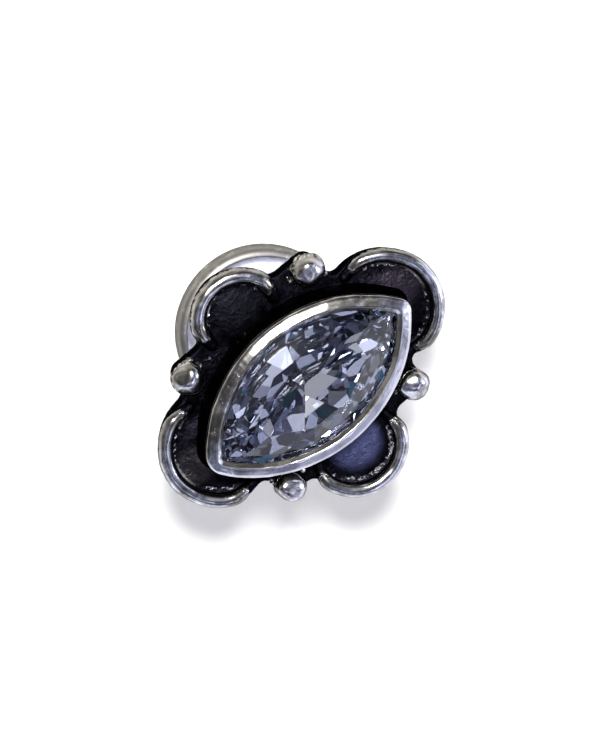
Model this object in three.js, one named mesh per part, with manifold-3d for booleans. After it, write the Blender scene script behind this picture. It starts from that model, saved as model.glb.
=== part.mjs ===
// A nose stud in darkened silver, in millimetres, +Z up.
//
// A clear marquise stone sits in a bezel on a four-lobed plate. A polished round wire runs round
// each lobe, and a polished granule sits between each pair of lobes. Behind the plate a plain post
// carries a round disc, and the wall of the nostril goes between that disc and the plate.
//
// The origin is the middle of the disc's back face, so the stud stands on its disc. +X runs along
// the stone's long axis, +Y across it, and +Z from the disc to the stone.

import * as THREE from 'three';
import { mergeVertices } from 'three/addons/utils/BufferGeometryUtils.js';
import Module from 'manifold-3d';

// Disc and post
const discRadius = 2.58;
const discThickness = 0.75;
const discEdgeRound = 0.18;
const postRadius = 0.45;
const postFillet = 0.15;
const postChamfer = 0.08;
const nostrilGap = 5.2;

// Plate
const plateThickness = 0.6;
const plateChamfer = 0.08;
const postSeatGap = 0.1;

// Lobes, each with its wire. A span is measured outward from the bezel to the wire's far side.
const tipLobeSpan = 1.2;
const sideLobeSpan = 2.02;
const tipWireRing = 1.63;
const sideWireRing = 1.31;
const wireRadius = 0.22;
const wireSink = 0.08;
const wireOverhang = 0.13;

// Granules, each on a pad between two lobes
const granuleRadius = 0.42;
const granuleSink = 0.2;
const granulePad = 0.45;

// Bezel and the opening that shows the stone
const windowLength = 6.62;
const windowWidth = 3.4;
const windowTipRound = 0.08;
const bezelWall = 0.45;
const bezelHeight = 1.15;
const bezelTipRound = 0.32;
const rimRound = 0.1;
const rimDrop = 0.1;
const rimBevel = 0.09;

// Stone, and the space round it in the bezel
const lipCover = 0.1;
const lipHeight = 0.24;
const stoneClearance = 0.05;
const girdleHeight = 0.09;
const crownHeight = 0.46;
const tableShare = 0.56;
const culetRadius = 0.12;
const metalUnderStone = 0.2;

// Steps round curved surfaces
const discSides = 40;
const roundSteps = 3;
const lobeSides = 40;
const ringSteps = 22;
const wireHalfSides = 5;
const granuleSides = 14;
const granuleRings = 10;
const marquiseSideSteps = 16;
const marquiseTipSteps = 4;

// Unevenness of the handmade lobes. Each row has the way that the lobe faces in degrees, its family,
// the shares of that family's ring radius that set its own radius and its shift to the left of the
// way it faces, and the degrees through which its wire runs to the right and to the left.
const lobeRows = [
  { facing: 0, family: 'tip', radius: 1.0, shift: 0.046, right: 99, left: 101 },
  { facing: 90, family: 'side', radius: 0.96, shift: 0.187, right: 101, left: 96 },
  { facing: 180, family: 'tip', radius: 1.0, shift: -0.046, right: 93, left: 92 },
  { facing: 270, family: 'side', radius: 1.05, shift: -0.034, right: 102, left: 98 },
];

// Granules. Each row has shares of the distances from the middle to a tip lobe and to a side lobe.
const granuleRows = [
  { along: 0.695, across: 0.971 },
  { along: -0.822, across: 0.925 },
  { along: -0.736, across: -0.826 },
  { along: 0.768, across: -0.838 },
];

// Facets. Each row has the ways that its facets face in one quarter of the stone, in degrees.
const mainFacets = [0, 60, 90];
const starFacets = [42, 76];
const girdleFacets = [34, 50, 67, 82];

// How much a row of facets is steeper or flatter than the row of main facets
const starSlope = 0.62;
const crownGirdleSlope = 1.22;
const pavilionGirdleSlope = 1.1;
const facetBite = 0.015;

// Heights worked out from the sizes above
const discFront = discThickness;
const plateBack = discFront + nostrilGap;
const plateFront = plateBack + plateThickness;
const postEnd = plateBack - postSeatGap;
const rimTop = plateFront + bezelHeight;
const girdleTop = rimTop - lipHeight - stoneClearance;
const girdleBottom = girdleTop - girdleHeight;
const tableTop = girdleTop + crownHeight;
const culet = plateBack + metalUnderStone + stoneClearance;

// Distances worked out from the sizes above
const windowHalfLength = windowLength / 2;
const windowHalfWidth = windowWidth / 2;
const bezelHalfLength = windowHalfLength + bezelWall;
const bezelHalfWidth = windowHalfWidth + bezelWall;
const ringOf = { tip: tipWireRing, side: sideWireRing };
const reachOf = { tip: bezelHalfLength + tipLobeSpan, side: bezelHalfWidth + sideLobeSpan };
const wireHeight = plateFront + wireRadius - wireSink;

const wasm = await Module();
wasm.setup();

// Solids for joining and cutting, and back again
const mergeDistance = 1e-5;

function solid(geometry) {
  const bare = new THREE.BufferGeometry();
  bare.setAttribute('position', geometry.getAttribute('position'));
  bare.setIndex(geometry.getIndex());
  const merged = mergeVertices(bare, mergeDistance);
  return new wasm.Manifold(new wasm.Mesh({
    numProp: 3,
    vertProperties: new Float32Array(merged.getAttribute('position').array),
    triVerts: new Uint32Array(merged.getIndex().array),
  }));
}

function geometryOf(body) {
  const mesh = body.getMesh();
  const geometry = new THREE.BufferGeometry();
  geometry.setAttribute('position', new THREE.BufferAttribute(new Float32Array(mesh.vertProperties), 3));
  geometry.setIndex(new THREE.BufferAttribute(new Uint32Array(mesh.triVerts), 1));
  geometry.computeVertexNormals();
  return geometry;
}

function joined(bodies) {
  return bodies.reduce((sum, body) => sum.add(body));
}

// Points on an arc, both ends among them
function arc(x, y, radius, from, to, steps) {
  return Array.from({ length: steps + 1 }, (_, i) => {
    const angle = from + ((to - from) * i) / steps;
    return new THREE.Vector2(x + radius * Math.cos(angle), y + radius * Math.sin(angle));
  });
}

// A pointed oval of two side arcs that pass through the window's points and sides. Growing it moves
// the arcs outward, and an arc of its own rounds each point.
function marquise(grow, tipRound) {
  const sideRadius = (windowHalfLength ** 2 + windowHalfWidth ** 2) / (2 * windowHalfWidth);
  const sideCentre = sideRadius - windowHalfWidth;
  const tipCentre = Math.sqrt((sideRadius + grow - tipRound) ** 2 - sideCentre ** 2);
  const turn = Math.atan2(sideCentre, tipCentre);
  const half = [
    ...arc(tipCentre, 0, tipRound, 0, turn, marquiseTipSteps / 2),
    ...arc(0, -sideCentre, sideRadius + grow, turn, Math.PI - turn, marquiseSideSteps).slice(1),
    ...arc(-tipCentre, 0, tipRound, Math.PI - turn, Math.PI, marquiseTipSteps / 2).slice(1),
  ];
  return [...half, ...half.slice(1, -1).reverse().map((point) => new THREE.Vector2(point.x, -point.y))];
}

// A closed body through outlines of as many points each, from the lowest to the highest
function stack(levels) {
  const count = levels[0].outline.length;
  const positions = [];
  const triangles = [];
  for (const { outline, z } of levels) {
    for (const point of outline) positions.push(point.x, point.y, z);
  }
  for (let level = 0; level + 1 < levels.length; level += 1) {
    for (let i = 0; i < count; i += 1) {
      const a = level * count + i;
      const b = level * count + ((i + 1) % count);
      triangles.push(a, b, b + count, a, b + count, a + count);
    }
  }
  const top = (levels.length - 1) * count;
  for (let i = 1; i + 1 < count; i += 1) {
    triangles.push(0, i + 1, i, top, top + i, top + i + 1);
  }
  const geometry = new THREE.BufferGeometry();
  geometry.setAttribute('position', new THREE.Float32BufferAttribute(positions, 3));
  geometry.setIndex(triangles);
  return solid(geometry);
}

// Lobes as centres, radii and ends of their wires, each centre set back from the lobe's reach
const lobes = lobeRows.map(({ facing, family, radius, shift, right, left }) => {
  const ring = ringOf[family] * radius;
  const out = reachOf[family] - wireRadius - ring;
  const way = THREE.MathUtils.degToRad(facing);
  const centre = new THREE.Vector2(out, ringOf[family] * shift).rotateAround(new THREE.Vector2(), way);
  return {
    centre,
    ring,
    start: way - THREE.MathUtils.degToRad(right),
    end: way + THREE.MathUtils.degToRad(left),
  };
});

// Granules, one in each quarter, placed from the mean size of each family of lobes
const tipOut = reachOf.tip - wireRadius - ringOf.tip;
const sideOut = reachOf.side - wireRadius - ringOf.side;
const granules = granuleRows.map(({ along, across }) => new THREE.Vector2(along * tipOut, across * sideOut));

// The plate's middle, an outline that runs past each granule's pad from lobe to lobe. Its corners in
// each quarter are on the tip lobe, round the pad and on the side lobe.
function plateMiddle() {
  const outline = granules.flatMap((granule) => {
    const corners = [
      new THREE.Vector2(tipOut, ringOf.tip),
      ...arc(Math.abs(granule.x), Math.abs(granule.y), granulePad, 0, Math.PI / 2, roundSteps),
      new THREE.Vector2(ringOf.side, sideOut),
    ];
    const [x, y] = [Math.sign(granule.x), Math.sign(granule.y)];
    const placed = corners.map((corner) => new THREE.Vector2(corner.x * x, corner.y * y));
    return x * y > 0 ? placed : placed.reverse();
  });
  const geometry = new THREE.ExtrudeGeometry(new THREE.Shape(outline), {
    depth: plateThickness,
    bevelEnabled: false,
  });
  return solid(geometry.translate(0, 0, plateBack));
}

// A body turned round Z from a profile of radii and heights
function turned(profile, sides) {
  return new THREE.LatheGeometry(profile, sides).rotateX(Math.PI / 2);
}

function lobePlate({ centre, ring }) {
  const radius = ring + wireRadius - wireOverhang;
  const profile = [
    new THREE.Vector2(0, plateBack),
    new THREE.Vector2(radius - plateChamfer, plateBack),
    new THREE.Vector2(radius, plateBack + plateChamfer),
    new THREE.Vector2(radius, plateFront),
    new THREE.Vector2(0, plateFront),
  ];
  return solid(turned(profile, lobeSides).translate(centre.x, centre.y, 0));
}

// The middle line of a lobe's wire
class WireLine extends THREE.Curve {
  constructor(lobe) {
    super();
    this.lobe = lobe;
  }

  getPoint(t) {
    const { centre, ring, start, end } = this.lobe;
    const angle = start + (end - start) * t;
    return new THREE.Vector3(
      centre.x + ring * Math.cos(angle),
      centre.y + ring * Math.sin(angle),
      wireHeight,
    );
  }
}

function lobeWire(lobe) {
  const line = new WireLine(lobe);
  const section = new THREE.Shape().absarc(0, 0, wireRadius, 0, 2 * Math.PI, false);
  const run = new THREE.ExtrudeGeometry(section, {
    extrudePath: line,
    steps: ringSteps,
    curveSegments: wireHalfSides,
    bevelEnabled: false,
  });
  return solid(run);
}

function granuleBall(place) {
  const ball = new THREE.SphereGeometry(granuleRadius, granuleSides, granuleRings).rotateX(Math.PI / 2);
  return solid(ball.translate(place.x, place.y, plateFront + granuleRadius - granuleSink));
}

// The bezel before the stone's space is cut. Its wall rounds over and climbs inward to the rim.
function bezelBlock() {
  const shoulder = rimTop - rimDrop - rimRound;
  const tipAt = (grow) => windowTipRound + ((bezelTipRound - windowTipRound) * grow) / bezelWall;
  const profile = [
    new THREE.Vector2(bezelWall, plateBack + plateThickness / 2),
    ...arc(bezelWall - rimRound, shoulder, rimRound, 0, Math.PI / 2, roundSteps),
    new THREE.Vector2(2 * rimBevel, rimTop),
  ];
  return stack(profile.map(({ x, y }) => ({ outline: marquise(x, tipAt(x)), z: y })));
}

// The stone's outline, and the same outline with the clearance round it
const stoneTipRound = windowTipRound + lipCover;
const stoneOutline = marquise(lipCover, stoneTipRound);
const seatOutline = marquise(lipCover + stoneClearance, stoneTipRound + stoneClearance);

function shrunk(outline, share) {
  return outline.map((point) => point.clone().multiplyScalar(share));
}

// The space for the stone: a narrow bottom, the seat, the underside of the lip and the bevelled rim
function stoneSpace() {
  const bottomShare = (culetRadius + stoneClearance) / windowHalfWidth;
  const windowOutline = marquise(0, windowTipRound);
  const above = rimTop + rimBevel;
  return stack([
    { outline: shrunk(seatOutline, bottomShare), z: culet - stoneClearance },
    { outline: seatOutline, z: girdleBottom - stoneClearance },
    { outline: seatOutline, z: girdleTop },
    { outline: windowOutline, z: rimTop - (lipHeight - lipCover - stoneClearance) },
    { outline: windowOutline, z: rimTop - rimBevel },
    { outline: marquise(2 * rimBevel, windowTipRound + 2 * rimBevel), z: above },
  ]);
}

function setting() {
  return joined([
    plateMiddle(),
    ...lobes.map(lobePlate),
    ...lobes.map(lobeWire),
    ...granules.map(granuleBall),
    bezelBlock(),
  ]).subtract(stoneSpace());
}

// The ways that a row of facets faces, all round the stone
function allRound(quarter) {
  const ways = quarter.flatMap((way) => [way, 180 - way, 180 + way, 360 - way]);
  return [...new Set(ways.map((way) => way % 360))].map(THREE.MathUtils.degToRad);
}

// How far the stone's outline reaches in a direction
function reach(way) {
  return Math.max(...stoneOutline.map((point) => point.x * Math.cos(way) + point.y * Math.sin(way)));
}

// Everything under a tilted plane that leaves the girdle at a height and climbs inward
function underFacet(way, girdle, climb) {
  const size = 4 * windowLength;
  const slope = Math.atan(climb);
  const block = new THREE.BoxGeometry(size, size, size).translate(0, 0, -size / 2);
  block.rotateY(slope).rotateZ(way);
  const edge = reach(way) - facetBite;
  return solid(block.translate(edge * Math.cos(way), edge * Math.sin(way), girdle));
}

// The same, above a plane that falls inward
function overFacet(way, girdle, fall) {
  const size = 4 * windowLength;
  const slope = Math.atan(fall);
  const block = new THREE.BoxGeometry(size, size, size).translate(0, 0, size / 2);
  block.rotateY(-slope).rotateZ(way);
  const edge = reach(way) - facetBite;
  return solid(block.translate(edge * Math.cos(way), edge * Math.sin(way), girdle));
}

// The stone, cut from a block of its own outline. Its main facets run from the girdle to the edge of
// the table and to the culet, and the other rows are cut between them.
function marquiseStone() {
  const crown = (way) => crownHeight / (reach(way) * (1 - tableShare));
  const pavilion = (way) => (girdleBottom - culet) / (reach(way) - culetRadius);
  const star = (way) => tableTop - starSlope * crown(way) * reach(way) * (1 - tableShare * 1.12);
  const cuts = [
    ...allRound(mainFacets).map((way) => underFacet(way, girdleTop, crown(way))),
    ...allRound(girdleFacets).map((way) => underFacet(way, girdleTop, crownGirdleSlope * crown(way))),
    ...allRound(starFacets).map((way) => underFacet(way, star(way), starSlope * crown(way))),
    ...allRound(mainFacets).map((way) => overFacet(way, girdleBottom, pavilion(way))),
    ...allRound(girdleFacets).map((way) => (
      overFacet(way, girdleBottom, pavilionGirdleSlope * pavilion(way)))),
  ];
  const block = stack([
    { outline: stoneOutline, z: culet },
    { outline: stoneOutline, z: tableTop },
  ]);
  return cuts.reduce((stone, cut) => stone.intersect(cut), block);
}

// The disc and its post, turned as one piece. The post's end is hidden behind the plate.
function discBack() {
  const rim = discRadius - discEdgeRound;
  const foot = postRadius + postFillet;
  return turned([
    new THREE.Vector2(0, 0),
    ...arc(rim, discEdgeRound, discEdgeRound, -Math.PI / 2, 0, roundSteps),
    ...arc(rim, discFront - discEdgeRound, discEdgeRound, 0, Math.PI / 2, roundSteps),
    ...arc(foot, discFront + postFillet, postFillet, -Math.PI / 2, -Math.PI, roundSteps),
    new THREE.Vector2(postRadius, postEnd - postChamfer),
    new THREE.Vector2(postRadius - postChamfer, postEnd),
    new THREE.Vector2(0, postEnd),
  ], discSides);
}

function piece(name, geometry, look) {
  const mesh = new THREE.Mesh(geometry, new THREE.MeshStandardMaterial(look));
  mesh.name = name;
  return mesh;
}

const stud = new THREE.Group();
stud.add(
  piece('setting', geometryOf(setting()), { color: 0x8f8d96, roughness: 0.25, metalness: 1 }),
  piece('marquise_stone', geometryOf(marquiseStone()), { color: 0xc9cbdb, roughness: 0.03, metalness: 0 }),
  piece('disc_back', geometryOf(solid(discBack())), { color: 0xb5b2bf, roughness: 0.2, metalness: 1 }),
);

export default stud;
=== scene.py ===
"""The looks of a darkened silver nose stud with a clear marquise stone."""
import math
import random

import bmesh
import bpy
from mathutils import Matrix, Vector, noise


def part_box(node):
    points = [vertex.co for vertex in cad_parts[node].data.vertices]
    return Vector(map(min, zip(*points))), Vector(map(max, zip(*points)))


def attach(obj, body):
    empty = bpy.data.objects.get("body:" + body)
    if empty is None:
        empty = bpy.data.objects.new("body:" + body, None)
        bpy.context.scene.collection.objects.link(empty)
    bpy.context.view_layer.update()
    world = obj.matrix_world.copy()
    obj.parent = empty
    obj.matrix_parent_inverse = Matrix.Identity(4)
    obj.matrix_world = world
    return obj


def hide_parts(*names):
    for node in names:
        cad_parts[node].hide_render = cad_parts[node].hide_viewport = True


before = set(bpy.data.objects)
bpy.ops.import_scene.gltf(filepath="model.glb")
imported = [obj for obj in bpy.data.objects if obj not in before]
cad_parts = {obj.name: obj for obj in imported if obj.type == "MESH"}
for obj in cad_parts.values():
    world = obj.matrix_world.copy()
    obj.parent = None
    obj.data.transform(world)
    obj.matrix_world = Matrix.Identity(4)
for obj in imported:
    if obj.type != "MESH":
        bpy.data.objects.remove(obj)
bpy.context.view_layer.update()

MM = 0.001

# Heights, read from the frame
POST_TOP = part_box("disc_back")[1][2] / MM
PLATE_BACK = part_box("setting")[0][2] / MM
RIM_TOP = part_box("setting")[1][2] / MM
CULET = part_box("marquise_stone")[0][2] / MM
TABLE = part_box("marquise_stone")[1][2] / MM

# Reaches of the lobes and the disc, read from the frame
TIP_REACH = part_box("setting")[1][0] / MM
SIDE_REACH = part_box("setting")[1][1] / MM
DISC_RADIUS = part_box("disc_back")[1][0] / MM

# Sizes in millimetres
DISC_THICKNESS = 0.75
DISC_EDGE = 0.18
DISC_RIM = 0.28
DISC_DOME = 0.12
POST_RADIUS = 0.45
POST_FILLET = 0.15
POST_CHAMFER = 0.08
PLATE_THICKNESS = 0.6
PLATE_EDGE = 0.08
PLATE_FRONT = PLATE_BACK + PLATE_THICKNESS
TIP_RING = 1.63
SIDE_RING = 1.31
WIRE_RADIUS = 0.22
WIRE_SINK = 0.08
PLATE_IN_WIRE = 0.09
GRANULE_RADIUS = 0.47
GRANULE_SINK = 0.2
GRANULE_PAD = 0.38
PLATE_BLEND = 0.36
LOBE_RELIEF = 0.05
WINDOW_HALF_LENGTH = 3.31
WINDOW_HALF_WIDTH = 1.7
WINDOW_TIP = 0.06
BEZEL_WALL = 0.45
BEZEL_SINK = 0.06
LIP_HEIGHT = 0.24
LIP_COVER = 0.1
CLEARANCE = 0.05
GIRDLE_THICKNESS = 0.09
GIRDLE_TOP = RIM_TOP - LIP_HEIGHT - CLEARANCE
GIRDLE_BOTTOM = GIRDLE_TOP - GIRDLE_THICKNESS
CULET_RADIUS = 0.12
FACET_BITE = 0.015

# The table as a share of the stone, and the pit under the stone as a share of the window
TABLE_SHARE = 0.56
PIT_SHARE = 0.55

# The camera: its angles in degrees, its distance in millimetres, and the photograph's scale and frame
CAMERA_TILT = 18.0
CAMERA_ROLL = 40.0
CAMERA_DISTANCE = 260.0
PIXELS_PER_MM = 34.3
FRAME_HEIGHT = 750

# The lamps' power in watts
KEY_POWER = 0.36
FILL_POWER = 0.05

# The facets' unevenness, and the noise of the dents, which without a seed is a different one each
# time that Blender starts
FACET_SEED = 4
NOISE_SEED = 5
noise.seed_set(NOISE_SEED)

# Lobes: the way each faces in degrees, its reach, its ring's radius, its shift to the left of that
# way, the degrees through which its wire runs to the right and to the left, how thick its wire is,
# and its floor's tint and painted sheen: colour, place and reach in shares of the floor's radius
LOBES = (
    {"name": "right", "facing": 0, "reach": TIP_REACH, "ring": TIP_RING, "shift": 0.075,
     "run": (99, 101), "thick": 1.0,
     "tint_and_sheen": (0.023, 0.019, 0.028), "tint_and_sheen_at": (0.56, 0.12), "tint_and_sheen_reach": 0.55},
    {"name": "top", "facing": 90, "reach": SIDE_REACH, "ring": 0.96 * SIDE_RING, "shift": 0.245,
     "run": (101, 96), "thick": 1.15,
     "tint_and_sheen": (0.007, 0.007, 0.010), "tint_and_sheen_at": (0.1, 0.0), "tint_and_sheen_reach": 0.75},
    {"name": "left", "facing": 180, "reach": TIP_REACH, "ring": TIP_RING, "shift": -0.075,
     "run": (93, 92), "thick": 1.05,
     "tint_and_sheen": (0.028, 0.026, 0.029), "tint_and_sheen_at": (0.62, 0.0), "tint_and_sheen_reach": 0.48},
    {"name": "bottom", "facing": 270, "reach": SIDE_REACH, "ring": 1.05 * SIDE_RING, "shift": -0.045,
     "run": (102, 98), "thick": 1.0,
     "tint_and_sheen": (0.078, 0.086, 0.185), "tint_and_sheen_at": (0.0, 0.0), "tint_and_sheen_reach": 0.85},
)
TIP_OUT = TIP_REACH - WIRE_RADIUS - TIP_RING
SIDE_OUT = SIDE_REACH - WIRE_RADIUS - SIDE_RING

# Granules, as shares of the distances from the middle to a tip lobe and to a side lobe
GRANULES = ((0.695, 0.961), (-0.820, 0.890), (-0.736, -0.826), (0.768, -0.838))

# The number of grains of solder beside each granule
GRAINS = 6


def rough(point, size, amount, seed):
    """A smooth unevenness of a millimetre point: offsets up to about amount, over lumps of size."""
    at = Vector(point) / size + Vector((seed * 7.3, seed * 3.1, seed * 5.7))
    return noise.noise_vector(at) * amount


def lobe_centre(lobe):
    """The middle of a lobe's ring, in millimetres."""
    way = math.radians(lobe["facing"])
    out = lobe["reach"] - WIRE_RADIUS - lobe["ring"]
    left = lobe["shift"]
    x = out * math.cos(way) - left * math.sin(way)
    y = out * math.sin(way) + left * math.cos(way)
    return Vector((x, y))


def smooth_step(low, high, value):
    """0 at low and before it, 1 at high and past it, and smooth between. Low may be above high."""
    t = min(1.0, max(0.0, (value - low) / (high - low)))
    return t * t * (3 - 2 * t)


def mesh_piece(name, vertices, faces, material, patina_and_shade=None):
    """A named mesh object from millimetre points, with its share of patina and painted shade at each
    point.
    """
    mesh = bpy.data.meshes.new(name)
    mesh.from_pydata([Vector(v) * MM for v in vertices], [], faces)
    mesh.validate()
    mesh.shade_smooth()
    if patina_and_shade is not None:
        layer = mesh.attributes.new("patina_and_shade", "FLOAT", "POINT")
        layer.data.foreach_set("value", patina_and_shade)
    mesh.materials.append(material)
    piece = bpy.data.objects.new(name, mesh)
    bpy.context.scene.collection.objects.link(piece)
    return piece


def grid_faces(rows, columns, close_rows=False):
    """Quads between rows of points that each close on themselves."""
    faces = []
    for row in range(rows if close_rows else rows - 1):
        here = row * columns
        there = (row + 1) % rows * columns
        for i in range(columns):
            j = (i + 1) % columns
            faces.append((here + i, here + j, there + j, there + i))
    return faces


def end_faces(rows, columns):
    """The two faces that close a grid at its first and its last row."""
    first = tuple(reversed(range(columns)))
    last = tuple((rows - 1) * columns + i for i in range(columns))
    return [first, last]


def window_share(x, y):
    """How far out a point is, as a share of the oval that is as long and wide as the bezel's window."""
    return math.hypot(x / WINDOW_HALF_LENGTH, y / WINDOW_HALF_WIDTH)


def arc_points(x, y, radius, start, end, steps):
    """Points along an arc round x, y, between two angles in degrees."""
    angles = [math.radians(start + (end - start) * i / steps) for i in range(steps + 1)]
    return [(x + radius * math.cos(a), y + radius * math.sin(a)) for a in angles]


# The marquise outline

SIDE_RADIUS = (WINDOW_HALF_LENGTH ** 2 + WINDOW_HALF_WIDTH ** 2) / (2 * WINDOW_HALF_WIDTH)
SIDE_CENTRE = SIDE_RADIUS - WINDOW_HALF_WIDTH


def marquise(grow, right_tip, left_tip, side_steps, tip_steps):
    """Points round the pointed oval: two side arcs, moved outward by grow, and a round at each tip."""
    side = SIDE_RADIUS + grow
    right = math.sqrt((side - right_tip) ** 2 - SIDE_CENTRE ** 2)
    left = math.sqrt((side - left_tip) ** 2 - SIDE_CENTRE ** 2)
    right_turn = math.degrees(math.atan2(SIDE_CENTRE, right))
    left_turn = math.degrees(math.atan2(SIDE_CENTRE, left))
    points = arc_points(right, 0, right_tip, -right_turn, right_turn, tip_steps)[:-1]
    points += arc_points(0, -SIDE_CENTRE, side, right_turn, 180 - left_turn, side_steps)[:-1]
    points += arc_points(-left, 0, left_tip, 180 - left_turn, 180 + left_turn, tip_steps)[:-1]
    points += arc_points(0, SIDE_CENTRE, side, 180 + left_turn, 360 - right_turn, side_steps)[:-1]
    return points


# Materials

class Nodes:
    """A node tree, with short calls for the nodes that the finishes share."""

    def __init__(self, tree):
        self.tree = tree
        self.new = tree.nodes.new

    def put(self, socket, value):
        """Links a node's output to the socket, or sets the socket to a plain value."""
        if isinstance(value, bpy.types.NodeSocket):
            self.tree.links.new(value, socket)
        else:
            socket.default_value = value

    def stretched(self, scale):
        """The material's place, scaled on each axis, so that noise on it becomes streaks."""
        node = self.new("ShaderNodeMapping")
        self.put(node.inputs["Vector"], self.place)
        node.inputs["Scale"].default_value = scale
        return node.outputs["Vector"]

    def noise(self, size_mm, detail=3.0, roughness=0.5, vector=None):
        """Noise with lumps of about size_mm."""
        node = self.new("ShaderNodeTexNoise")
        self.put(node.inputs["Vector"], vector or self.place)
        node.inputs["Scale"].default_value = 1.0 / (size_mm * MM)
        node.inputs["Detail"].default_value = detail
        node.inputs["Roughness"].default_value = roughness
        return node.outputs["Fac"]

    def ramp(self, value, stops, interpolation="LINEAR"):
        """A colour or grey for each value, from stops of a position and a colour or grey."""
        node = self.new("ShaderNodeValToRGB")
        self.put(node.inputs["Fac"], value)
        node.color_ramp.interpolation = interpolation
        elements = node.color_ramp.elements
        while len(elements) < len(stops):
            elements.new(0.5)
        for element, (position, colour) in zip(elements, stops):
            element.position = position
            red_green_blue = colour if isinstance(colour, tuple) else (colour, colour, colour)
            element.color = (*red_green_blue, 1.0)
        return node.outputs["Color"]

    def math(self, operation, first, second=0.0, third=0.0):
        """The result of one of Blender's operations on two or three values."""
        node = self.new("ShaderNodeMath")
        node.operation = operation
        for socket, value in zip(node.inputs, (first, second, third)):
            self.put(socket, value)
        return node.outputs["Value"]

    def mix(self, factor, first, second):
        """A colour from the first to the second, as the factor goes from 0 to 1."""
        node = self.new("ShaderNodeMix")
        node.data_type = "RGBA"
        self.put(node.inputs["Factor"], factor)
        for socket, value in (("A", first), ("B", second)):
            self.put(next(s for s in node.inputs if s.name == socket and s.type == "RGBA"), value)
        return next(s for s in node.outputs if s.type == "RGBA")

    def attribute(self, name, output="Fac"):
        """A value that the mesh stores."""
        node = self.new("ShaderNodeAttribute")
        node.attribute_name = name
        return node.outputs[output]

    def bump(self, height, depth_mm, normal=None):
        """A normal for low relief, on top of another normal where there is one."""
        node = self.new("ShaderNodeBump")
        node.inputs["Strength"].default_value = 1.0
        node.inputs["Distance"].default_value = depth_mm * MM
        self.put(node.inputs["Height"], height)
        if normal is not None:
            self.put(node.inputs["Normal"], normal)
        return node.outputs["Normal"]


class Finish(Nodes):
    """The nodes of a new material."""

    def __init__(self, name):
        self.material = bpy.data.materials.new(name)
        self.material.use_nodes = True
        super().__init__(self.material.node_tree)
        self.shader = self.tree.nodes["Principled BSDF"]
        self.place = self.new("ShaderNodeTexCoord").outputs["Object"]


def silver(name, ragged, polish):
    """Polished silver that turns dull grey, then to a black crust, where the mesh's values of patina and
    painted shade say, along a ragged edge.
    """
    n = Finish(name)
    facing = n.new("ShaderNodeSeparateXYZ")
    n.put(facing.inputs["Vector"], n.new("ShaderNodeTexCoord").outputs["Normal"])

    # The polished metal: bluish, a painted tint of the lavender light it mirrors; beige where it faces
    # +Y, a painted warm reflection; and dull grey just before the crust, partly tarnish, partly painted
    # shade
    bright = n.ramp(n.noise(0.9, 4.0, 0.6), [(0.3, (0.50, 0.51, 0.60)), (0.6, (0.71, 0.72, 0.85))])
    beige = n.ramp(n.noise(0.6, 4.0, 0.6), [(0.3, (0.28, 0.265, 0.215)), (0.7, (0.47, 0.45, 0.38))])
    painted_warm_reflection = n.ramp(n.math("ADD", facing.outputs["Y"], n.noise(1.1)), [(0.60, 0.0), (0.95, 0.9)])
    polished = n.mix(painted_warm_reflection, bright, beige)
    # Dull grey for middling values: patchy tarnish, and painted shade where the metal would mirror white
    dull_and_shade = n.ramp(n.math("MULTIPLY_ADD", n.noise(0.35, 4.0, 0.65), 0.8, n.attribute("patina_and_shade")), [
        (0.45, 0.0), (0.67, 0.92), (0.80, 0.92), (0.94, 0.2)])
    polished = n.mix(dull_and_shade, polished, (0.175, 0.166, 0.152, 1.0))

    # The crust, with the floors' tint and painted sheen, its ragged edge, and specks where metal shows
    # through
    crust = n.ramp(n.noise(0.35, 5.0, 0.65), [
        (0.35, (0.0015, 0.0015, 0.0025)), (0.7, (0.010, 0.009, 0.014))])
    crust = n.mix(n.attribute("tint_and_sheen_cover"), crust, n.attribute("tint_and_sheen", "Color"))
    edge = n.math("MULTIPLY_ADD", n.noise(0.13, 4.0, 0.6), ragged, n.attribute("patina_and_shade"))
    patina_and_shade = n.ramp(edge, [(0.5 + ragged * 0.42, 0.0), (0.5 + ragged * 0.58, 1.0)])
    specks = n.math("MULTIPLY", n.noise(0.16, 2.0, 0.5), n.noise(0.9, 2.0, 0.5))
    patina_and_shade = n.math("MULTIPLY", patina_and_shade, n.ramp(specks, [(0.46, 1.0), (0.50, 0.35)]))

    n.put(n.shader.inputs["Base Color"], n.mix(patina_and_shade, polished, crust))
    n.shader.inputs["Metallic"].default_value = 1.0
    edge_shine = n.mix(dull_and_shade, (1.0, 1.0, 1.0, 1.0), (0.25, 0.25, 0.28, 1.0))
    n.put(n.shader.inputs["Specular Tint"], n.mix(patina_and_shade, edge_shine, (0.08, 0.08, 0.08, 1.0)))
    shine = n.ramp(n.noise(0.5, 4.0, 0.6), [(0.3, polish), (0.75, polish + 0.11)])
    dull = n.ramp(n.noise(0.2, 4.0, 0.6), [(0.3, 0.24), (0.7, 0.5)])
    n.put(n.shader.inputs["Roughness"], n.mix(patina_and_shade, shine, dull))

    # Dents everywhere, pits in the crust alone, and fine scratches that run along Y
    dents = n.bump(n.noise(0.45, 2.0, 0.5), 0.012)
    pits = n.bump(n.math("MULTIPLY", n.noise(0.11, 4.0, 0.6), patina_and_shade), 0.03, dents)
    scratches = n.noise(0.05, 3.0, 0.6, n.stretched((1.0, 0.12, 0.5)))
    n.put(n.shader.inputs["Normal"], n.bump(scratches, 0.0012, pits))
    return n.material


def clear_stone():
    """A clear cut stone with a faint lavender body, fine polishing marks and a silvered back."""
    n = Finish("clear_stone")
    tint = n.ramp(n.noise(1.6, 2.0), [(0.35, (0.75, 0.765, 0.82)), (0.7, (0.82, 0.835, 0.89))])
    n.put(n.shader.inputs["Base Color"], tint)
    n.shader.inputs["Transmission Weight"].default_value = 1.0
    n.shader.inputs["IOR"].default_value = 1.8
    n.put(n.shader.inputs["Roughness"], n.ramp(n.noise(0.3), [(0.4, 0.0), (0.8, 0.01)]))
    n.put(n.shader.inputs["Metallic"], n.attribute("foil"))
    return n.material


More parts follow.
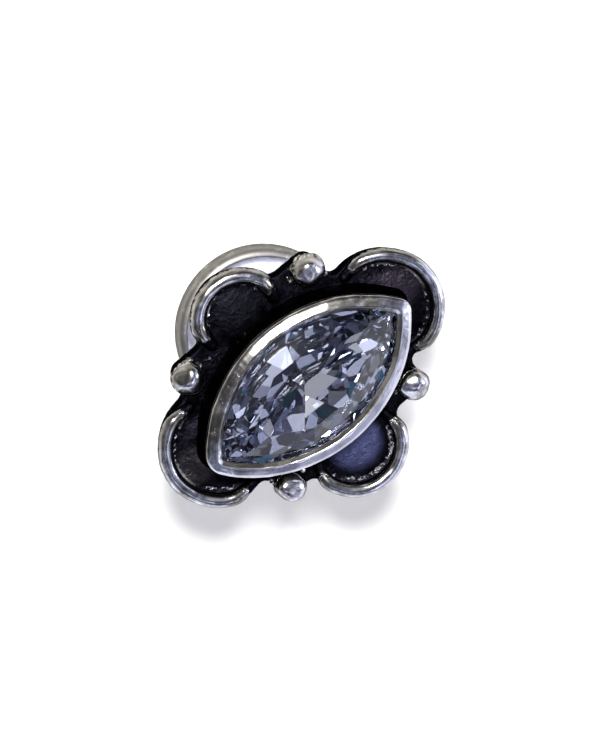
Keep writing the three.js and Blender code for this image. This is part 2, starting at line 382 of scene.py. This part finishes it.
def pale_floor():
    """A pale matt floor that gives off a little light, to reach the photograph's white."""
    n = Finish("pale_floor")
    shades = [(0.3, (0.92, 0.91, 0.88)), (0.7, (0.94, 0.93, 0.90))]
    n.put(n.shader.inputs["Base Color"], n.ramp(n.noise(40.0), shades))
    n.shader.inputs["Roughness"].default_value = 0.9
    n.shader.inputs["Specular IOR Level"].default_value = 0.1
    n.shader.inputs["Emission Color"].default_value = (1.0, 1.0, 0.98, 1.0)
    n.shader.inputs["Emission Strength"].default_value = 0.12
    return n.material


# The plate

def plate_gap(x, y):
    """How far a millimetre point is outside the plate's outline, negative inside it."""
    pad_x, pad_y = next((a * TIP_OUT, b * SIDE_OUT) for a, b in GRANULES if a * x >= 0 and b * y >= 0)
    across, along = abs(x) - abs(pad_x), abs(y) - abs(pad_y)
    outside = math.hypot(max(across, 0.0), max(along, 0.0)) + min(max(across, along), 0.0)
    nearest = outside - GRANULE_PAD
    for lobe in LOBES:
        centre = lobe_centre(lobe)
        round_gap = math.hypot(x - centre.x, y - centre.y) - lobe["ring"] - PLATE_IN_WIRE
        blend = max(PLATE_BLEND - abs(nearest - round_gap), 0.0) / PLATE_BLEND
        nearest = min(nearest, round_gap) - blend * blend * PLATE_BLEND / 4
    return nearest


def plate_edge(angle):
    """The distance from the middle to the plate's edge, at an angle in radians."""
    low, high = 0.5, 1.5 * TIP_REACH
    for _ in range(30):
        middle = (low + high) / 2
        if plate_gap(middle * math.cos(angle), middle * math.sin(angle)) < 0:
            low = middle
        else:
            high = middle
    return low


def floor_height(x, y):
    """The plate's front: a low dome in each lobe, a groove at each wire and a pit under the stone."""
    height = PLATE_FRONT
    for lobe in LOBES:
        centre = lobe_centre(lobe)
        share = math.hypot(x - centre.x, y - centre.y) / (lobe["ring"] - WIRE_RADIUS)
        if share < 1.0:
            dome = 1 - smooth_step(0.0, 0.78, share)
            groove = smooth_step(0.55, 0.85, share)
            height += LOBE_RELIEF * dome - LOBE_RELIEF * groove
    pit_depth = PLATE_FRONT - CULET + CLEARANCE
    height -= pit_depth * smooth_step(0.0, 1.0, 1 - window_share(x, y) / PIT_SHARE)
    return height + rough((x, y, 0), 0.35, 0.016, 1).z


def add_tint_and_sheen(plate):
    """Stores, on the plate's mesh, each lobe floor's tint and painted sheen: its colour and where it
    shows.
    """
    tint_and_sheen_cover = plate.data.attributes.new("tint_and_sheen_cover", "FLOAT", "POINT")
    tint_and_sheen = plate.data.attributes.new("tint_and_sheen", "FLOAT_COLOR", "POINT")
    for vertex in plate.data.vertices:
        point = vertex.co.to_2d() / MM
        for lobe in LOBES:
            centre = lobe_centre(lobe)
            floor_radius = lobe["ring"] - WIRE_RADIUS
            if (point - centre).length > floor_radius:
                continue
            way = Matrix.Rotation(math.radians(lobe["facing"]), 2)
            middle = centre + way @ Vector(lobe["tint_and_sheen_at"]) * floor_radius
            share = (point - middle).length / floor_radius
            reach = lobe["tint_and_sheen_reach"]
            tint_and_sheen_cover.data[vertex.index].value = smooth_step(reach, 0.6 * reach, share)
            tint_and_sheen.data[vertex.index].color = (*lobe["tint_and_sheen"], 1.0)


def solder_traces(x, y):
    """How much cleaner the plate's front is beside the granules and along the wires' inner sides."""
    near = min(math.hypot(x - a * TIP_OUT, y - b * SIDE_OUT) for a, b in GRANULES)
    traces = 0.40 * smooth_step(0.9, 0.5, near + rough((x, y, 0), 0.35, 0.9, 31).x)
    traces *= smooth_step(1.5, 1.8, window_share(x, y))
    for lobe in LOBES:
        way = math.radians(lobe["facing"])
        away = Vector((x, y)) - lobe_centre(lobe)
        gap = away.length - lobe["ring"] + WIRE_RADIUS
        outward = away.x * math.cos(way) + away.y * math.sin(way)
        beside = smooth_step(0.16, 0.06, abs(gap + 0.06)) * smooth_step(0.0, 0.3, outward)
        traces = max(traces, (0.42 + rough((x, y, 0), 0.7, 0.22, 41).x) * beside)
    return traces


def make_plate(material):
    """The base plate, in rings from the middle of its front, over its edge and in again at the back."""
    columns, edge_steps, rings = 512, 4, 46
    angles = [2 * math.pi * i / columns for i in range(columns)]
    edges = [plate_edge(a) for a in angles]
    vertices, patina_and_shade = [], []

    def add_ring(share, inset, height, dark):
        """A ring at a share of the way out. Without a height it lies on the plate's worked front."""
        for angle, edge in zip(angles, edges):
            radius = max(edge - inset, 0.0) * share
            x, y = radius * math.cos(angle), radius * math.sin(angle)
            in_pocket = smooth_step(1.1, 1.0, window_share(x, y))
            vertices.append((x, y, floor_height(x, y) if height is None else height))
            patina_and_shade.append(dark if height else dark - in_pocket - solder_traces(x, y))

    for k in range(1, rings + 1):
        add_ring(k / rings, PLATE_EDGE, None, 1)
    for k in range(1, edge_steps + 1):
        turn = math.radians(90 * k / edge_steps)
        drop = PLATE_EDGE * (1 - math.cos(turn))
        add_ring(1.0, PLATE_EDGE * (1 - math.sin(turn)), PLATE_FRONT - drop, 0.95)
    for share in (0.75, 0.5, 0.25):
        add_ring(1.0, 0.0, PLATE_BACK + PLATE_EDGE + share * (PLATE_THICKNESS - 2 * PLATE_EDGE), 0.75)
    for k in range(edge_steps + 1):
        turn = math.radians(90 * k / edge_steps)
        rise = PLATE_EDGE * (1 - math.sin(turn))
        add_ring(1.0, PLATE_EDGE * (1 - math.cos(turn)), PLATE_BACK + rise, 0.5)
    for k in range(6, 0, -1):
        add_ring(k / 7, PLATE_EDGE, PLATE_BACK, 0.05)

    rows = len(vertices) // columns
    faces = grid_faces(rows, columns) + end_faces(rows, columns)
    return mesh_piece("base_plate", vertices, [tuple(reversed(f)) for f in faces], material, patina_and_shade)


# The bezel

def bezel_patina_and_shade(grow, x, y, height):
    """Black up the outside to below the rim, and uneven painted shade on the rim's +Y side, lightest
    where the lamp's highlight falls.
    """
    painted_rim_shade = 0.0
    if height > RIM_TOP - 0.15:
        # Painted shade, heavier towards the rim's ends, so that the lamp's highlight shows only between
        # them
        painted_rim_shade = 0.14 + 0.14 * max(smooth_step(0.5, -0.3, x), smooth_step(0.9, 1.5, x))
        painted_rim_shade += rough((x, y, height), 0.3, 0.2, 43).x
        painted_rim_shade *= smooth_step(-0.2, 0.8, y)
    if grow <= 0.3:
        return painted_rim_shade
    dark = 1.15 - 1.2 * smooth_step(0.40, 0.22, RIM_TOP - height)
    if height < PLATE_FRONT + 0.1 and y > 0:
        dark -= 0.5 * smooth_step(0.7, 0.4, abs(x + 0.45))
    return dark + painted_rim_shade


def make_bezel(material):
    """A wall bent round the stone. Its profile runs up the outside, over the rim and down the inside."""
    wall, top, foot = BEZEL_WALL, RIM_TOP, PLATE_FRONT
    # Each point is a distance outward from the window's edge, and a height
    profile = [(wall + 0.12, foot - BEZEL_SINK), (wall + 0.10, foot + 0.02), (wall + 0.045, foot + 0.08)]
    profile += [(wall + 0.01, foot + 0.2), (wall, foot + 0.4), (wall, foot + 0.6)]
    profile += [(wall, foot + 0.8), (wall - 0.005, top - 0.25)]
    profile += [(x - 0.005, y) for x, y in arc_points(wall - 0.06, top - 0.165, 0.06, 0, 65, 5)]
    profile += [(0.40, top - 0.10), (0.34, top - 0.077), (0.27, top - 0.047)]
    profile += [(0.20, top - 0.018), (0.16, top - 0.002), (0.14, top), (0.12, top - 0.006)]
    profile += [(0.10, top - 0.022), (0.03, top - 0.085), (0.0, top - 0.11), (0.0, top - 0.16)]
    profile += [(0.06, top - 0.2), (0.1, top - 0.26), (0.17, top - 0.4)]
    profile += [(0.17, foot + 0.1), (0.17, foot - BEZEL_SINK)]
    side_steps, tip_steps = 140, 12
    vertices, patina_and_shade = [], []
    for grow, height in profile:
        right_tip, left_tip = WINDOW_TIP + 0.75 * grow, WINDOW_TIP + 1.15 * grow
        for x, y in marquise(grow, right_tip, left_tip, side_steps, tip_steps):
            lift = smooth_step(foot, top, height)
            shift = rough((x, y, height), 0.9, 0.022, 2) + rough((x, y, height), 0.3, 0.007, 3)
            z = height + min(shift.z * lift, top - height)
            vertices.append((x + shift.x * lift, y + shift.y * lift, z))
            patina_and_shade.append(bezel_patina_and_shade(grow, x, y, height))
    columns = 2 * (side_steps + tip_steps)
    return mesh_piece("bezel", vertices, grid_faces(len(profile), columns, True), material, patina_and_shade)


# The wires and granules

def wire_patina_and_shade(out, up, from_end):
    """Black at the wire's foot, further up on its inner side, and dark towards its ends; painted shade on
    the outer side's lower half, and a light tarnish all over.
    """
    # On the outer side the lower half gets painted shade, which dims the white floor it mirrors
    foot = smooth_step(0.95, -0.2, up) if out < 0 else 0.42 * smooth_step(0.65, 0.30, up)
    foot += 0.4 * smooth_step(0.2, -0.3, up)
    end = 0.5 * (1 - smooth_step(0.0, 0.45, from_end)) + 0.25 * (1 - smooth_step(0.3, 1.1, from_end))
    return 0.12 + 0.88 * foot + end


def make_wire(lobe, material, seed):
    """A round wire along a lobe's edge. Its ends thin out, dip to the plate and turn inward."""
    steps, sides, cap_steps = 150, 28, 5
    centre = lobe_centre(lobe)
    ring = lobe["ring"]
    start, end = lobe["facing"] - lobe["run"][0], lobe["facing"] + lobe["run"][1]
    span = math.radians(end - start) * ring
    height = PLATE_FRONT + WIRE_RADIUS - WIRE_SINK
    # Each row has how far along the wire it is and, in the rounded ends, the share of its thickness
    caps = [math.sin(math.radians(90 * k / cap_steps)) for k in range(1, cap_steps)]
    rows = [(0.0, cap) for cap in caps] + [(i / steps, 1.0) for i in range(steps + 1)]
    rows += [(1.0, cap) for cap in reversed(caps)]
    vertices, patina_and_shade = [], []
    for index, (t, cap) in enumerate(rows):
        from_end = min(t, 1 - t) * span
        slim = 0.72 + 0.28 * smooth_step(0.0, 0.7, from_end)
        tuck = 0.12 * (1 - smooth_step(0.0, 0.8, from_end))
        slide = 0.7 * WIRE_RADIUS * math.sqrt(1 - cap * cap)
        angle = math.radians(start + (end - start) * t)
        angle += (slide if index > len(rows) / 2 else -slide) / ring
        around = Vector((math.cos(angle), math.sin(angle), 0.0))
        base = Vector((centre.x, centre.y, height)) + around * (ring - tuck) - Vector((0, 0, 0.6 * tuck))
        for k in range(sides):
            turn = 2 * math.pi * k / sides
            out, up = math.cos(turn), math.sin(turn)
            radius = WIRE_RADIUS * lobe["thick"] * slim * cap
            point = base + around * (out * radius) + Vector((0, 0, up * radius))
            point += rough(point, 0.8, 0.018, seed) + rough(point, 0.25, 0.006, seed + 1)
            vertices.append(point)
            patina_and_shade.append(wire_patina_and_shade(out, up, from_end))
    faces = grid_faces(len(rows), sides) + end_faces(len(rows), sides)
    return mesh_piece("wire_" + lobe["name"], vertices, faces, material, patina_and_shade)


def make_granule(name, x, y, material, seed):
    """A ball melted onto the plate, uneven and a little flat, with grains of solder on its inner side."""
    chance = random.Random(seed)
    inward = math.atan2(-y, -x)
    # Each ball has its place beside the granule's middle, its radius, its rise and its fineness
    balls = [(0.0, 0.0, GRANULE_RADIUS, GRANULE_RADIUS - GRANULE_SINK, 5)]
    for _ in range(GRAINS):
        way = inward + chance.uniform(-1.6, 1.6)
        away = GRANULE_RADIUS * chance.uniform(0.85, 1.3)
        size = chance.uniform(0.06, 0.13)
        balls.append((away * math.cos(way), away * math.sin(way), size, 0.3 * size, 3))
    vertices, faces, patina_and_shade = [], [], []
    for across, along, radius, rise, fineness in balls:
        sheet = bmesh.new()
        bmesh.ops.create_icosphere(sheet, subdivisions=fineness, radius=radius)
        first = len(vertices)
        for vertex in sheet.verts:
            point = vertex.co.copy()
            height = point.z / radius
            outward = -(point.x * math.cos(inward) + point.y * math.sin(inward)) / radius
            spread = 1.04 + 0.05 * smooth_step(0.3, -0.6, height)
            point = Vector((point.x * spread, point.y * spread, 0.9 * point.z))
            point += rough(point + Vector((across, along, 0)), radius * 1.1, radius * 0.17, seed)
            vertices.append(point + Vector((x + across, y + along, PLATE_FRONT + rise)))
            # Black on the inner lower side; all round, the lower sides darker, painted shade that dims
            # the white floor they mirror
            inner = smooth_step(0.85, 0.1, height) * smooth_step(0.5, -0.5, outward)
            side = 0.36 * smooth_step(0.7, 0.2, height) + 0.5 * smooth_step(0.0, -0.5, height)
            patina_and_shade.append(max(0.9 * inner, 0.12 + side) if radius == GRANULE_RADIUS else 0.5)
        faces += [tuple(first + v.index for v in face.verts) for face in sheet.faces]
        sheet.free()
    return mesh_piece(name, vertices, faces, material, patina_and_shade)


# The stone

def stone_reach(outline, way):
    """How far out the outline reaches in a way given in radians."""
    return max(x * math.cos(way) + y * math.sin(way) for x, y in outline)


def all_round(quarter):
    """Ways in radians round the stone, from ways in degrees in one quarter of it."""
    ways = {w % 360 for way in quarter for w in (way, 180 - way, 180 + way, 360 - way)}
    return [math.radians(way) for way in sorted(ways)]


def make_stone(material):
    """A block of the stone's outline, cut by planes: main, girdle and star facets, and the pavilion."""
    tip = WINDOW_TIP + LIP_COVER
    outline = marquise(LIP_COVER, tip, tip, 40, 6)
    unevenness = random.Random(FACET_SEED)
    body = bmesh.new()
    low = [body.verts.new((x, y, CULET)) for x, y in outline]
    high = [body.verts.new((x, y, TABLE)) for x, y in outline]
    body.faces.new(list(reversed(low)))
    body.faces.new(high)
    for i in range(len(outline)):
        j = (i + 1) % len(outline)
        body.faces.new((low[i], low[j], high[j], high[i]))

    def cut(point, normal):
        """Takes off what lies past a plane, and closes the body there with a facet."""
        everything = body.verts[:] + body.edges[:] + body.faces[:]
        result = bmesh.ops.bisect_plane(
            body, geom=everything, dist=1e-6, plane_co=point, plane_no=normal, clear_outer=True)
        edges = [e for e in result["geom_cut"] if isinstance(e, bmesh.types.BMEdge)]
        bmesh.ops.contextual_create(body, geom=edges)

    def facet(way, height, slope, side):
        """Cuts a slightly uneven facet that meets the outline at a height, above (1) or below (-1)."""
        out = stone_reach(outline, way) - FACET_BITE
        way += math.radians(unevenness.uniform(-1.5, 1.5) * (2 - side))
        slope *= 1 + unevenness.uniform(-0.04, 0.04) * (1.5 - side)
        tilt = math.atan(slope)
        level = math.sin(tilt)
        normal = Vector((math.cos(way) * level, math.sin(way) * level, side * math.cos(tilt)))
        cut(Vector((out * math.cos(way), out * math.sin(way), height)), normal)

    def crown(way):
        """The slope from the girdle to the table."""
        return (TABLE - GIRDLE_TOP) / (stone_reach(outline, way) * (1 - TABLE_SHARE))

    def pavilion(way):
        """The slope from the girdle to the culet."""
        return (GIRDLE_BOTTOM - CULET) / (stone_reach(outline, way) - CULET_RADIUS)

    for way in all_round((0, 60, 90)):
        facet(way, GIRDLE_TOP, crown(way), 1)
    for way in all_round((34, 50, 67, 82)):
        facet(way, GIRDLE_TOP, 1.22 * crown(way), 1)
    for way in all_round((42, 76)):
        star = 0.62 * crown(way)
        height = TABLE - star * stone_reach(outline, way) * (1 - TABLE_SHARE * 1.12)
        facet(way, height, star, 1)
    for way in all_round((8, 36, 45, 54, 62, 70, 78, 86)):
        facet(way, GIRDLE_BOTTOM, 0.95, -1)
    for way in all_round((0, 38, 50, 60, 70, 82)):
        facet(way, GIRDLE_BOTTOM + 0.07, 0.72, -1)
    for way in all_round((34, 56, 75, 90)):
        facet(way, GIRDLE_BOTTOM + 0.02, pavilion(way), -1)

    body.verts.index_update()
    vertices = [v.co.copy() for v in body.verts]
    faces = [tuple(v.index for v in face.verts) for face in body.faces]
    body.free()
    piece = mesh_piece("cut_stone", vertices, faces, material)
    piece.data.shade_flat()
    foil = piece.data.attributes.new("foil", "FLOAT", "FACE")
    foil.data.foreach_set("value", [float(face.normal.z < -0.2) for face in piece.data.polygons])
    return piece


# The disc and post

def make_disc(material):
    """The disc and its post, turned as one piece, with a slightly uneven polish."""
    back_edge = DISC_RADIUS - DISC_EDGE
    front = DISC_THICKNESS
    # Each point of the profile is a radius and a height, from the back's middle to the post's end
    profile = [(back_edge * k / 14, 0.0) for k in range(1, 14)]
    profile += arc_points(back_edge, DISC_EDGE, DISC_EDGE, -90, 0, 6)
    for turn in (0, 12, 24, 36, 48, 60, 72, 82, 90):
        out, rise = math.cos(math.radians(turn)), math.sin(math.radians(turn))
        profile.append((DISC_RADIUS - DISC_RIM * (1 - out), front - 0.04 - DISC_RIM * (1 - rise)))
    profile.append((DISC_RADIUS - DISC_RIM - 0.04, front - 0.08))
    face_edge = DISC_RADIUS - DISC_RIM - 0.10
    inner = POST_RADIUS + POST_FILLET
    for k in range(16):
        radius = face_edge + (inner - face_edge) * k / 16
        fall = smooth_step(face_edge - 1.1, face_edge + 0.25, radius)
        profile.append((radius, front - DISC_DOME * fall))
    profile += arc_points(inner, front + POST_FILLET, POST_FILLET, 270, 180, 5)
    profile += [(POST_RADIUS, front + (POST_TOP - front) * k / 8) for k in range(1, 8)]
    profile += [(POST_RADIUS, POST_TOP - POST_CHAMFER), (POST_RADIUS - POST_CHAMFER, POST_TOP)]
    profile.append((POST_RADIUS * 0.5, POST_TOP))
    sides = 160
    vertices, patina_and_shade = [], []
    for radius, height in profile:
        for k in range(sides):
            turn = 2 * math.pi * k / sides
            point = Vector((radius * math.cos(turn), radius * math.sin(turn), height))
            if 0.05 < height < POST_TOP - 0.1:
                point += rough(point, 1.2, 0.012, 21)
            vertices.append(point)
            # The rim's ring is dulled with painted shade, which dims the white floor it mirrors; the post
            # darkens towards the plate and is black at its end
            if radius > inner + 0.01:
                patina_and_shade.append(0.30 if radius > DISC_RADIUS - DISC_RIM - 0.02 else 0.0)
            else:
                middle = 0.22 + 0.2 * smooth_step(front, POST_TOP - 1.0, height)
                patina_and_shade.append(middle + 0.5 * smooth_step(POST_TOP - 0.9, POST_TOP - 0.1, height))
    faces = grid_faces(len(profile), sides) + end_faces(len(profile), sides)
    return mesh_piece("disc_and_post", vertices, faces, material, patina_and_shade)


# The view, the light and the floor

def make_camera():
    """Looks down on the stud from its +Y side, rolled so that the stone runs to the upper right."""
    tilt, roll = math.radians(CAMERA_TILT), math.radians(CAMERA_ROLL)
    back = Vector((0.0, math.sin(tilt), math.cos(tilt)))
    across = Vector((0.0, math.cos(tilt), -math.sin(tilt)))
    right = Vector((math.cos(roll), 0.0, 0.0)) - across * math.sin(roll)
    up = Vector((math.sin(roll), 0.0, 0.0)) + across * math.cos(roll)
    target = Vector((0.0, 0.0, PLATE_FRONT + 0.17)) - right * 0.102 + up * 0.14
    data = bpy.data.cameras.new("camera")
    data.sensor_fit = "VERTICAL"
    data.sensor_height = 24.0
    data.lens = data.sensor_height * CAMERA_DISTANCE / (FRAME_HEIGHT / PIXELS_PER_MM)
    data.clip_start = 0.01
    data.clip_end = 10.0
    camera = bpy.data.objects.new("camera", data)
    place = (target + back * CAMERA_DISTANCE) * MM
    camera.matrix_world = Matrix.Translation(place) @ Matrix((right, up, back)).transposed().to_4x4()
    bpy.context.scene.collection.objects.link(camera)
    bpy.context.scene.camera = camera
    return right, up, back


def area_light(name, place, size, power, colour):
    """A soft round light at a millimetre place, facing the stud."""
    data = bpy.data.lights.new(name, "AREA")
    data.shape = "DISK"
    data.size = size * MM
    data.energy = power
    data.color = colour
    light = bpy.data.objects.new(name, data)
    light.location = Vector(place) * MM
    aim = Vector((0, 0, PLATE_FRONT)) * MM - light.location
    light.rotation_euler = aim.to_track_quat("-Z", "Y").to_euler()
    bpy.context.scene.collection.objects.link(light)
    return light


def make_studio():
    """Pale walls, a grey +Y side, and panels of light and shade overhead, which the stud mirrors."""
    world = bpy.data.worlds.new("studio")
    bpy.context.scene.world = world
    world.use_nodes = True
    n = Nodes(world.node_tree)
    way = n.new("ShaderNodeTexCoord").outputs["Generated"]
    parts = n.new("ShaderNodeSeparateXYZ")
    n.put(parts.inputs["Vector"], way)
    side, height = parts.outputs["Y"], parts.outputs["Z"]

    panels = n.new("ShaderNodeTexVoronoi")
    panels.inputs["Scale"].default_value = 5.0
    panels.inputs["Randomness"].default_value = 0.9
    n.put(panels.inputs["Vector"], way)
    pick = n.new("ShaderNodeSeparateColor")
    n.put(pick.inputs["Color"], panels.outputs["Color"])
    shade = n.ramp(pick.outputs["Red"], [
        (0.0, (0.07, 0.07, 0.08)), (0.28, (0.18, 0.18, 0.22)), (0.46, (0.09, 0.22, 0.26)),
        (0.54, (0.44, 0.44, 0.50)), (0.68, (1.0, 1.0, 1.0)), (0.90, (1.8, 1.8, 1.8))], "CONSTANT")
    turned = n.math("MULTIPLY_ADD", side, 0.5, 0.5)
    open_sky = n.ramp(turned, [
        (0.0, (1.10, 1.10, 1.18)), (0.30, (0.98, 0.99, 1.10)), (0.53, (0.76, 0.78, 0.90)),
        (0.58, (0.26, 0.26, 0.27)), (0.80, (0.32, 0.31, 0.30)), (1.0, (0.50, 0.49, 0.52))])
    both = n.new("ShaderNodeVectorMath")
    both.operation = "MULTIPLY"
    n.put(both.inputs[0], open_sky)
    n.put(both.inputs[1], shade)
    pale = (0.98, 0.98, 0.97, 1.0)
    low = n.mix(n.ramp(height, [(0.12, 0.0), (0.28, 1.0)]), pale, open_sky)
    colour = n.mix(n.ramp(height, [(0.30, 0.0), (0.42, 1.0)]), low, both.outputs["Vector"])
    n.put(n.tree.nodes["Background"].inputs["Color"], colour)


def make_lights(right, up, back):
    """A lamp just above the camera's line of sight, and a weak one to the right."""
    area_light("key", back * 150 + up * 23 + right * 2, 29, KEY_POWER, (1.0, 1.0, 1.0))
    area_light("fill", right * 130 - up * 8 + back * 40, 50, FILL_POWER, (0.94, 0.94, 1.0))


def make_floor():
    """A square floor under the stud, which isn't a part of it."""
    half = 300.0
    corners = [(-half, -half, 0), (half, -half, 0), (half, half, 0), (-half, half, 0)]
    floor = mesh_piece("floor", corners, [(0, 1, 2, 3)], pale_floor())


right, up, back = make_camera()
make_studio()
make_lights(right, up, back)
make_floor()
bpy.context.scene.view_settings.view_transform = "Standard"
# Light crosses the stone many times, so it needs long light paths
bpy.context.scene.cycles.max_bounces = 24
bpy.context.scene.cycles.glossy_bounces = 16
bpy.context.scene.cycles.transmission_bounces = 16

worked = silver("darkened_silver", 0.8, 0.15)
plate = make_plate(worked)
add_tint_and_sheen(plate)
parts = [plate, make_bezel(worked)]
for number, row in enumerate(LOBES):
    parts.append(make_wire(row, worked, 5 + 2 * number))
for number, (along, across) in enumerate(GRANULES):
    name = "granule_%d" % (number + 1)
    parts.append(make_granule(name, along * TIP_OUT, across * SIDE_OUT, worked, 15 + number))
for part in parts:
    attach(part, "root")
    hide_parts("setting")

stone = make_stone(clear_stone())
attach(stone, "root")
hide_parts("marquise_stone")

disc = make_disc(silver("polished_silver", 0.3, 0.42))
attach(disc, "root")
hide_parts("disc_back")
